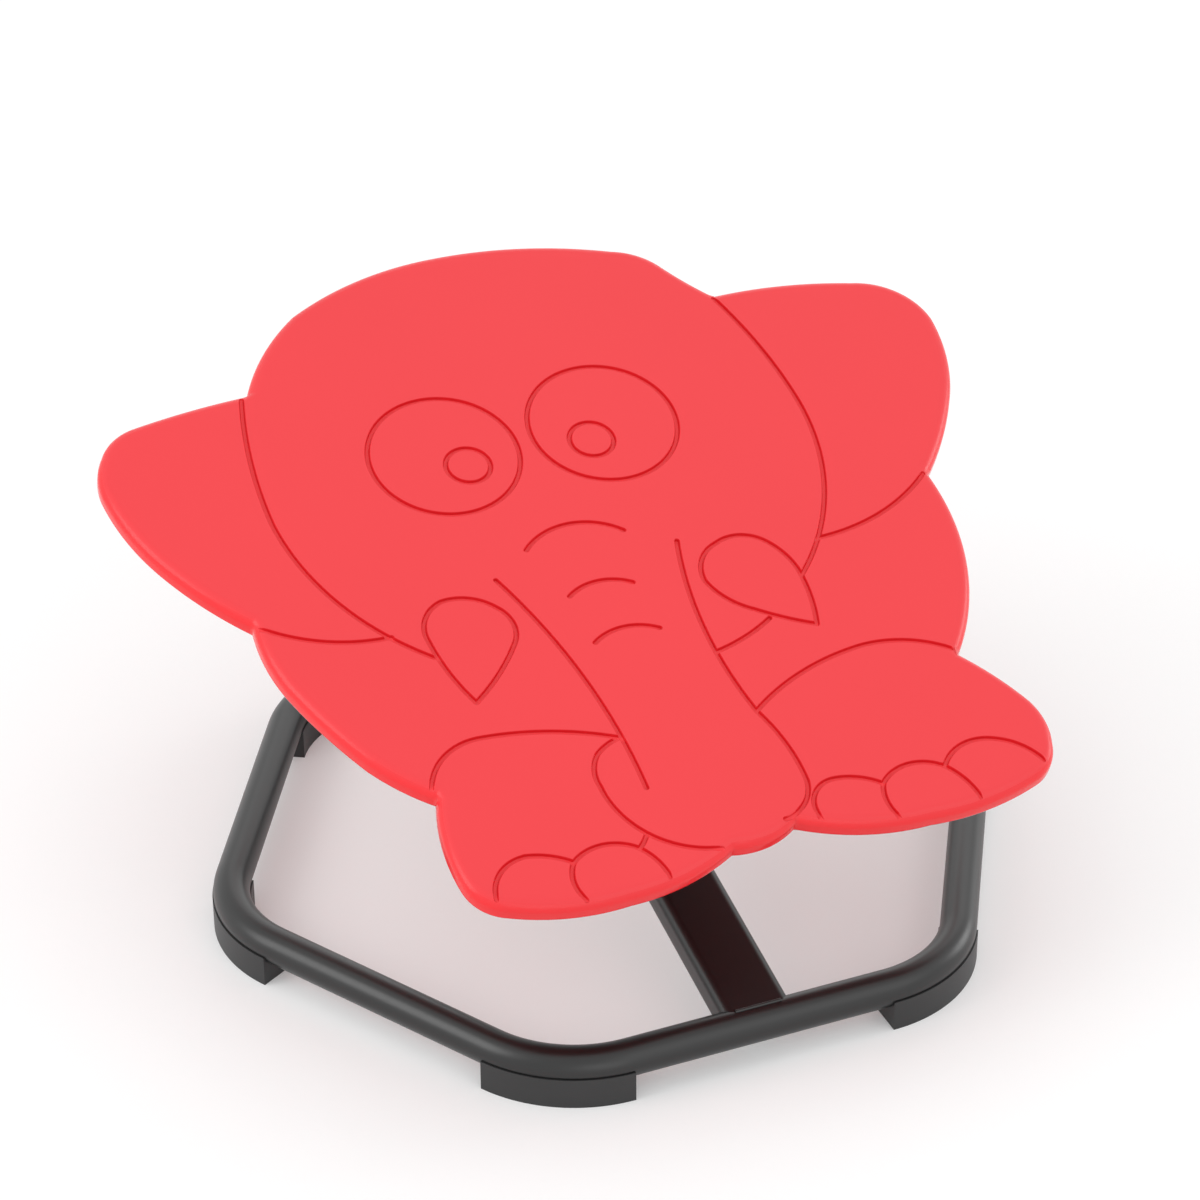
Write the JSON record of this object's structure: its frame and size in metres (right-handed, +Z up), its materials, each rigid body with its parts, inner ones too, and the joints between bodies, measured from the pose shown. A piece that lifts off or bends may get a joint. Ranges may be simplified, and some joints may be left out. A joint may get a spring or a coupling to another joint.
{
  "type": "toddler spinning seat",
  "caption": "Tilted elephant-shaped seat plate that spins freely on a bearing post, carried by a bent bar over a hexagonal tube base with rubber feet.",
  "frame": {"origin": "on the floor, below the middle of the hexagonal base", "axes": "+Z up; the elephant's feet and the low edge of the seat are towards -Y; +X is to the right of a viewer who looks along +Y"},
  "size_m": [0.491, 0.4219, 0.2795],
  "materials": {
    "frame_paint": "satin powder coat",
    "foot_rubber": "matte moulded",
    "seal_rubber": "matte",
    "zinc_steel": "zinc plated",
    "bearing_steel": "ground",
    "cage_nylon": "moulded",
    "seat_plastic": "fine matte with routed lines",
    "insert_brass": "turned"
  },
  "bodies": {
    "base": {"base_ring": "frame_paint", "joint_sleeve": "zinc_steel", "cross_bar": "frame_paint", "bar_welds": "frame_paint", "tilt_block": "frame_paint", "post": "frame_paint", "foot_right": "foot_rubber", "foot_rear_right": "foot_rubber", "foot_rear_left": "foot_rubber", "foot_left": "foot_rubber", "foot_front_left": "foot_rubber", "foot_front_right": "foot_rubber", "foot_screws": "zinc_steel", "lower_inner_race": "bearing_steel", "race_spacer": "zinc_steel", "upper_inner_race": "bearing_steel", "post_washer": "zinc_steel", "lock_nut": "zinc_steel"},
    "seat": {"hub": "frame_paint", "dust_seal": "seal_rubber", "lower_outer_race": "bearing_steel", "upper_outer_race": "bearing_steel", "retaining_ring": "zinc_steel", "seat_plate": "seat_plastic", "seat_inserts": "insert_brass", "hub_screws": "zinc_steel", "hub_washers": "zinc_steel"},
    "lower_ball_set": {"lower_cage": "cage_nylon", "lower_balls": "bearing_steel"},
    "upper_ball_set": {"upper_cage": "cage_nylon", "upper_balls": "bearing_steel"}
  },
  "joints": [
    {"name": "seat_spin", "type": "hinge", "parent": "base", "child": "seat", "pos_m": [0, 0.01525, 0.19498], "axis": [0, -0.342, 0.9397], "continuous": true},
    {"name": "lower_balls_spin", "type": "hinge", "parent": "base", "child": "lower_ball_set", "pos_m": [0, 0.01525, 0.19498], "axis": [0, -0.342, 0.9397], "continuous": true},
    {"name": "upper_balls_spin", "type": "hinge", "parent": "base", "child": "upper_ball_set", "pos_m": [0, 0.01525, 0.19498], "axis": [0, -0.342, 0.9397], "continuous": true}
  ],
  "couplings": [
    {"joint": "lower_balls_spin", "follows": "seat_spin", "ratio": 0.6039},
    {"joint": "upper_balls_spin", "follows": "seat_spin", "ratio": 0.6039}
  ]
}
